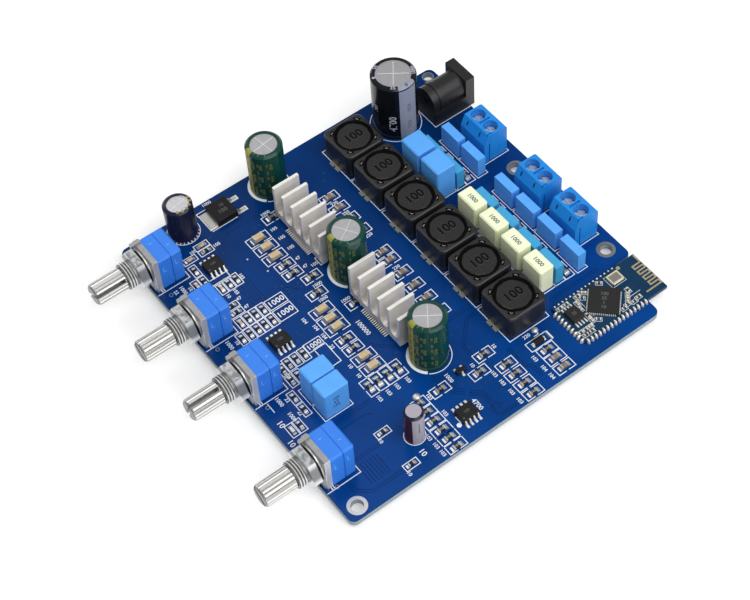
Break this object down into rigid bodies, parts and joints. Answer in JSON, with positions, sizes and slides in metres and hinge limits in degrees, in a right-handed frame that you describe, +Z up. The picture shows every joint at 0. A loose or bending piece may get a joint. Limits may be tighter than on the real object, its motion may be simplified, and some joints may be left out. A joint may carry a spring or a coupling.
{
  "type": "audio amplifier board",
  "caption": "Populated audio amplifier circuit board with panel potentiometers, inductors, capacitors, heatsinks, screw terminals, power jack and wireless module.",
  "frame": {"origin": "middle of the assembly's outline, at the foot of the cut leads it stands on", "axes": "+X along the front edge to the right, +Y from the potentiometers to the terminals, +Z up out of the board"},
  "size_m": [0.102, 0.1184, 0.0228],
  "materials": {
    "board": "glossy solder mask",
    "module": "glossy solder mask",
    "zinc": "die-cast, satin",
    "nickel": "bright plated",
    "tin": "tinned",
    "steel": "plated, used",
    "black_plastic": "moulded, satin",
    "black_sleeve": "shrunk sleeve, glossy",
    "green_sleeve": "shrunk sleeve, glossy",
    "navy_sleeve": "shrunk sleeve, glossy",
    "blue_box": "moulded, satin",
    "cream_box": "moulded, satin",
    "ferrite": "matt ferrite",
    "heatsink": "satin",
    "chip": "moulded, matt",
    "tan_ceramic": "fired ceramic",
    "lamp": "clear cast",
    "pot_blue": "moulded, satin",
    "terminal_blue": "moulded, satin"
  },
  "bodies": {
    "board": {"circuit_board": "board", "pot_front_plates": "zinc", "pot_nuts": "nickel", "pot_washers": "nickel", "pot_pins": "tin", "terminal_cages": "tin", "power_jack_housing": "black_plastic", "power_jack_pin": "nickel", "power_jack_contacts": "tin", "supply_capacitor": "black_sleeve", "green_capacitors": "green_sleeve", "small_capacitors": "navy_sleeve", "capacitor_leads": "tin", "large_film_capacitors": "blue_box", "slim_film_capacitors": "blue_box", "cream_film_capacitors": "cream_box", "inductor_shields": "ferrite", "inductor_cores": "ferrite", "inductor_terminals": "tin", "heatsink_1": "heatsink", "heatsink_2": "heatsink", "amplifier_chips": "chip", "amplifier_chip_pins": "tin", "regulator_body": "chip", "regulator_tab": "tin", "small_chips": "chip", "small_chip_pins": "tin", "chip_resistors": "chip", "chip_capacitors": "tan_ceramic", "indicator_lamp": "lamp", "wireless_board": "module", "wireless_chips": "chip", "wireless_crystal": "nickel", "wireless_small_parts": "tan_ceramic", "pot_1_housing": "pot_blue", "pot_2_housing": "pot_blue", "pot_3_housing": "pot_blue", "pot_4_housing": "pot_blue", "terminal_1_housing": "terminal_blue", "terminal_2_housing": "terminal_blue", "terminal_3_housing": "terminal_blue"},
    "pot_1": {"pot_1_shaft": "nickel"},
    "pot_2": {"pot_2_shaft": "nickel"},
    "pot_3": {"pot_3_shaft": "nickel"},
    "pot_4": {"pot_4_shaft": "nickel"},
    "wire_plate_1": {"wire_plate_1": "tin"},
    "terminal_screw_1": {"terminal_screw_1": "steel"},
    "wire_plate_2": {"wire_plate_2": "tin"},
    "terminal_screw_2": {"terminal_screw_2": "steel"},
    "wire_plate_3": {"wire_plate_3": "tin"},
    "terminal_screw_3": {"terminal_screw_3": "steel"},
    "wire_plate_4": {"wire_plate_4": "tin"},
    "terminal_screw_4": {"terminal_screw_4": "steel"},
    "wire_plate_5": {"wire_plate_5": "tin"},
    "terminal_screw_5": {"terminal_screw_5": "steel"},
    "wire_plate_6": {"wire_plate_6": "tin"},
    "terminal_screw_6": {"terminal_screw_6": "steel"}
  },
  "joints": [
    {"name": "pot_1_turn", "type": "hinge", "parent": "board", "child": "pot_1", "pos_m": [-0.03835, -0.0502, 0.0099], "axis": [0, -1, 0], "range_deg": [-97, 203]},
    {"name": "pot_2_turn", "type": "hinge", "parent": "board", "child": "pot_2", "pos_m": [-0.01635, -0.0502, 0.0099], "axis": [0, -1, 0], "range_deg": [-204, 96]},
    {"name": "pot_3_turn", "type": "hinge", "parent": "board", "child": "pot_3", "pos_m": [0.0053, -0.0502, 0.0099], "axis": [0, -1, 0], "range_deg": [-134, 166]},
    {"name": "pot_4_turn", "type": "hinge", "parent": "board", "child": "pot_4", "pos_m": [0.0352, -0.0502, 0.0099], "axis": [0, -1, 0], "range_deg": [-204, 96]},
    {"name": "wire_plate_1_press", "type": "slide", "parent": "board", "child": "wire_plate_1", "axis": [0, 0, 1], "range_m": [-0.0015, 0.0005]},
    {"name": "terminal_screw_1_turn", "type": "hinge", "parent": "wire_plate_1", "child": "terminal_screw_1", "pos_m": [-0.02194, 0.0517, 0.0081], "axis": [0, 0, 1], "range_deg": [-1080, 360]},
    {"name": "wire_plate_2_press", "type": "slide", "parent": "board", "child": "wire_plate_2", "axis": [0, 0, 1], "range_m": [-0.0015, 0.0005]},
    {"name": "terminal_screw_2_turn", "type": "hinge", "parent": "wire_plate_2", "child": "terminal_screw_2", "pos_m": [-0.01686, 0.0517, 0.0081], "axis": [0, 0, 1], "range_deg": [-1080, 360]},
    {"name": "wire_plate_3_press", "type": "slide", "parent": "board", "child": "wire_plate_3", "axis": [0, 0, 1], "range_m": [-0.0015, 0.0005]},
    {"name": "terminal_screw_3_turn", "type": "hinge", "parent": "wire_plate_3", "child": "terminal_screw_3", "pos_m": [0.00046, 0.0517, 0.0081], "axis": [0, 0, 1], "range_deg": [-1080, 360]},
    {"name": "wire_plate_4_press", "type": "slide", "parent": "board", "child": "wire_plate_4", "axis": [0, 0, 1], "range_m": [-0.0015, 0.0005]},
    {"name": "terminal_screw_4_turn", "type": "hinge", "parent": "wire_plate_4", "child": "terminal_screw_4", "pos_m": [0.00554, 0.0517, 0.0081], "axis": [0, 0, 1], "range_deg": [-1080, 360]},
    {"name": "wire_plate_5_press", "type": "slide", "parent": "board", "child": "wire_plate_5", "axis": [0, 0, 1], "range_m": [-0.0015, 0.0005]},
    {"name": "terminal_screw_5_turn", "type": "hinge", "parent": "wire_plate_5", "child": "terminal_screw_5", "pos_m": [0.01466, 0.0517, 0.0081], "axis": [0, 0, 1], "range_deg": [-1080, 360]},
    {"name": "wire_plate_6_press", "type": "slide", "parent": "board", "child": "wire_plate_6", "axis": [0, 0, 1], "range_m": [-0.0015, 0.0005]},
    {"name": "terminal_screw_6_turn", "type": "hinge", "parent": "wire_plate_6", "child": "terminal_screw_6", "pos_m": [0.01974, 0.0517, 0.0081], "axis": [0, 0, 1], "range_deg": [-1080, 360]}
  ],
  "couplings": [
    {"joint": "terminal_screw_1_turn", "follows": "wire_plate_1_press", "rad_per_m": 12566},
    {"joint": "terminal_screw_2_turn", "follows": "wire_plate_2_press", "rad_per_m": 12566},
    {"joint": "terminal_screw_3_turn", "follows": "wire_plate_3_press", "rad_per_m": 12566},
    {"joint": "terminal_screw_4_turn", "follows": "wire_plate_4_press", "rad_per_m": 12566},
    {"joint": "terminal_screw_5_turn", "follows": "wire_plate_5_press", "rad_per_m": 12566},
    {"joint": "terminal_screw_6_turn", "follows": "wire_plate_6_press", "rad_per_m": 12566}
  ]
}
